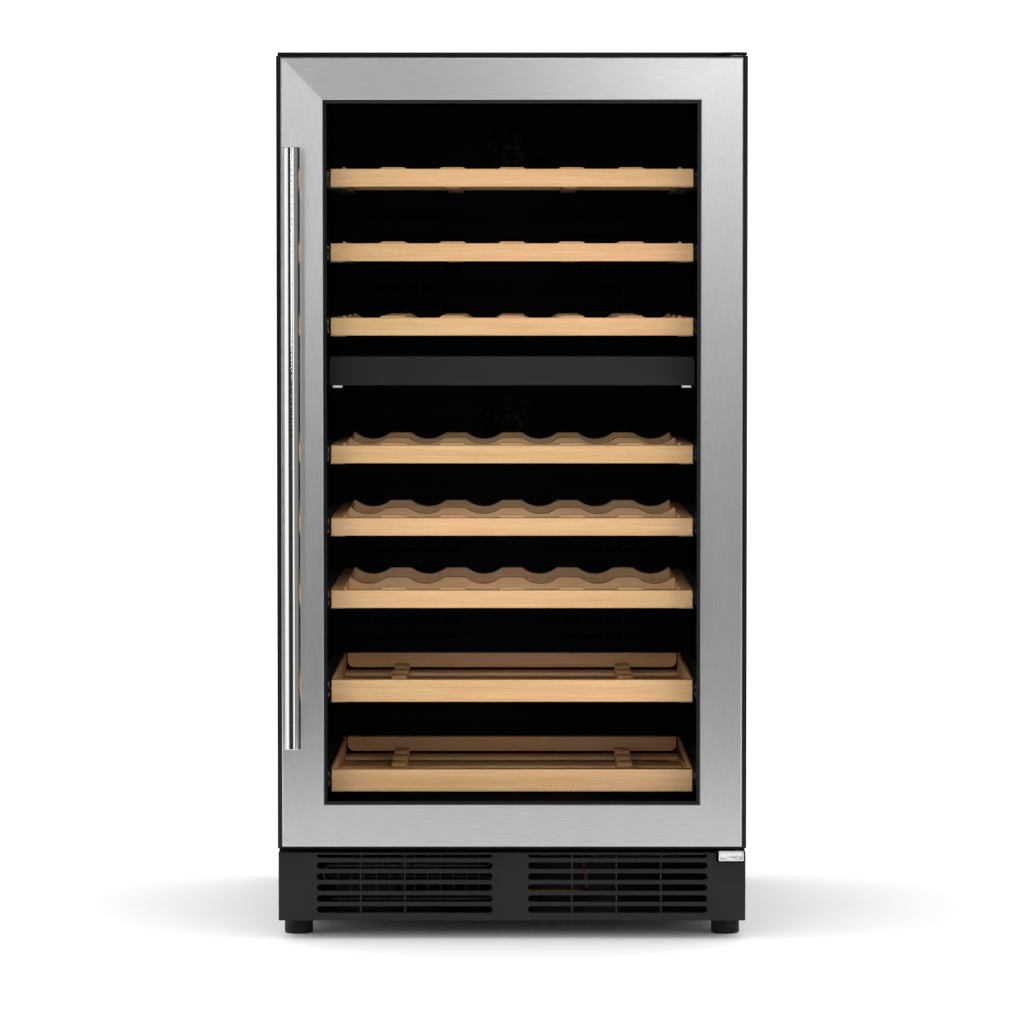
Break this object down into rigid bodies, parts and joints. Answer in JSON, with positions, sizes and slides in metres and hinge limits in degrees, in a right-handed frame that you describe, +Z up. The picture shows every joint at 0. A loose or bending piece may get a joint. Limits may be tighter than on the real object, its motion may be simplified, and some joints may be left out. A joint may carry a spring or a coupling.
{
  "type": "wine cooler",
  "caption": "Free-standing wine cooler: framed glass door with tube handle, beech shelves and trays on runners, control bar between zones, kick grille, compressor bay.",
  "frame": {"origin": "on the floor under the centre of the overall box, handle included", "axes": "+Z up, -Y to the front (door), +X to the hinge side"},
  "size_m": [0.598, 0.74, 1.134],
  "materials": {
    "black_steel": "satin",
    "galvanised_steel": "satin",
    "brushed_stainless": "satin",
    "polished_stainless": "polished",
    "hinge_steel": "satin",
    "steel_runner": "satin",
    "screw_steel": "satin",
    "black_abs": "matte",
    "black_plinth": "matte",
    "grey_fascia": "satin",
    "black_liner": "satin",
    "pu_foam": "matte",
    "circuit_board": "satin",
    "light_lens": "gloss",
    "black_enamel": "satin",
    "fin_aluminium": "satin",
    "copper": "satin",
    "grey_tray": "matte",
    "black_rubber": "matte",
    "nylon": "satin",
    "glass": "gloss",
    "spacer": "satin",
    "beech": "satin"
  },
  "bodies": {
    "cabinet": {"side_panel_left": "black_steel", "side_panel_right": "black_steel", "top_cover": "black_steel", "back_panel": "galvanised_steel", "base_pan": "black_steel", "wall_foam": "pu_foam", "inner_liner": "black_liner", "face_frame": "black_steel", "zone_divider": "pu_foam", "control_panel": "grey_fascia", "control_board": "circuit_board", "interior_lights": "light_lens", "duct_covers": "black_liner", "evaporators": "fin_aluminium", "slide_rails": "steel_runner", "kick_grille": "black_plinth", "compressor": "black_enamel", "condenser": "black_enamel", "fan_shrouds": "black_abs", "refrigerant_pipes": "copper", "drip_tray": "grey_tray", "rear_cover": "galvanised_steel", "power_inlet": "black_abs", "hinge_brackets": "hinge_steel", "hinge_cap": "hinge_steel", "screws": "screw_steel"},
    "door": {"door_skin": "brushed_stainless", "door_core": "black_abs", "glazing_bead": "black_abs", "glass_outer": "glass", "glass_inner": "glass", "glass_spacer": "spacer", "door_gasket": "black_rubber", "handle_bar": "polished_stainless", "handle_posts": "polished_stainless", "handle_screws": "screw_steel", "hinge_bushes": "nylon"},
    "shelf_1": {"shelf_1_wood": "beech", "shelf_1_runners": "steel_runner"},
    "shelf_2": {"shelf_2_wood": "beech", "shelf_2_runners": "steel_runner"},
    "shelf_3": {"shelf_3_wood": "beech", "shelf_3_runners": "steel_runner"},
    "shelf_4": {"shelf_4_wood": "beech", "shelf_4_runners": "steel_runner"},
    "shelf_5": {"shelf_5_wood": "beech", "shelf_5_runners": "steel_runner"},
    "shelf_6": {"shelf_6_wood": "beech", "shelf_6_runners": "steel_runner"},
    "drawer_1": {"drawer_1_wood": "beech", "drawer_1_runners": "steel_runner"},
    "drawer_2": {"drawer_2_wood": "beech", "drawer_2_runners": "steel_runner"},
    "fan_upper_rotor": {"fan_upper": "black_abs"},
    "fan_lower_rotor": {"fan_lower": "black_abs"},
    "condenser_fan_rotor": {"condenser_fan": "black_abs"},
    "foot_front_left": {"foot_front_left": "black_rubber"},
    "foot_front_right": {"foot_front_right": "black_rubber"},
    "foot_rear_left": {"foot_rear_left": "black_rubber"},
    "foot_rear_right": {"foot_rear_right": "black_rubber"}
  },
  "joints": [
    {"name": "door_hinge", "type": "hinge", "parent": "cabinet", "child": "door", "pos_m": [0.285, -0.286, 0.6239], "axis": [0, 0, 1], "range_deg": [0, 115]},
    {"name": "shelf_1_slide", "type": "slide", "parent": "cabinet", "child": "shelf_1", "axis": [0, -1, 0], "range_m": [0, 0.22]},
    {"name": "shelf_2_slide", "type": "slide", "parent": "cabinet", "child": "shelf_2", "axis": [0, -1, 0], "range_m": [0, 0.22]},
    {"name": "shelf_3_slide", "type": "slide", "parent": "cabinet", "child": "shelf_3", "axis": [0, -1, 0], "range_m": [0, 0.22]},
    {"name": "shelf_4_slide", "type": "slide", "parent": "cabinet", "child": "shelf_4", "axis": [0, -1, 0], "range_m": [0, 0.22]},
    {"name": "shelf_5_slide", "type": "slide", "parent": "cabinet", "child": "shelf_5", "axis": [0, -1, 0], "range_m": [0, 0.22]},
    {"name": "shelf_6_slide", "type": "slide", "parent": "cabinet", "child": "shelf_6", "axis": [0, -1, 0], "range_m": [0, 0.22]},
    {"name": "drawer_1_slide", "type": "slide", "parent": "cabinet", "child": "drawer_1", "axis": [0, -1, 0], "range_m": [0, 0.22]},
    {"name": "drawer_2_slide", "type": "slide", "parent": "cabinet", "child": "drawer_2", "axis": [0, -1, 0], "range_m": [0, 0.22]},
    {"name": "fan_upper_spin", "type": "hinge", "parent": "cabinet", "child": "fan_upper_rotor", "pos_m": [0, 0.234, 1.016], "axis": [0, -1, 0], "continuous": true},
    {"name": "fan_lower_spin", "type": "hinge", "parent": "cabinet", "child": "fan_lower_rotor", "pos_m": [0, 0.234, 0.64475], "axis": [0, -1, 0], "continuous": true},
    {"name": "condenser_fan_spin", "type": "hinge", "parent": "cabinet", "child": "condenser_fan_rotor", "pos_m": [-0.11, 0.027, 0.0746], "axis": [0, -1, 0], "continuous": true},
    {"name": "foot_front_left_height", "type": "slide", "parent": "cabinet", "child": "foot_front_left", "axis": [0, 0, -1], "range_m": [0, 0.015]},
    {"name": "foot_front_right_height", "type": "slide", "parent": "cabinet", "child": "foot_front_right", "axis": [0, 0, -1], "range_m": [0, 0.015]},
    {"name": "foot_rear_left_height", "type": "slide", "parent": "cabinet", "child": "foot_rear_left", "axis": [0, 0, -1], "range_m": [0, 0.015]},
    {"name": "foot_rear_right_height", "type": "slide", "parent": "cabinet", "child": "foot_rear_right", "axis": [0, 0, -1], "range_m": [0, 0.015]}
  ],
  "couplings": [
    {"joint": "shelf_1_slide", "follows": "door_hinge", "m_per_rad": 0.108},
    {"joint": "shelf_2_slide", "follows": "door_hinge", "m_per_rad": 0.108},
    {"joint": "shelf_3_slide", "follows": "door_hinge", "m_per_rad": 0.108},
    {"joint": "shelf_4_slide", "follows": "door_hinge", "m_per_rad": 0.108},
    {"joint": "shelf_5_slide", "follows": "door_hinge", "m_per_rad": 0.108},
    {"joint": "shelf_6_slide", "follows": "door_hinge", "m_per_rad": 0.108},
    {"joint": "drawer_1_slide", "follows": "door_hinge", "m_per_rad": 0.108},
    {"joint": "drawer_2_slide", "follows": "door_hinge", "m_per_rad": 0.108}
  ]
}
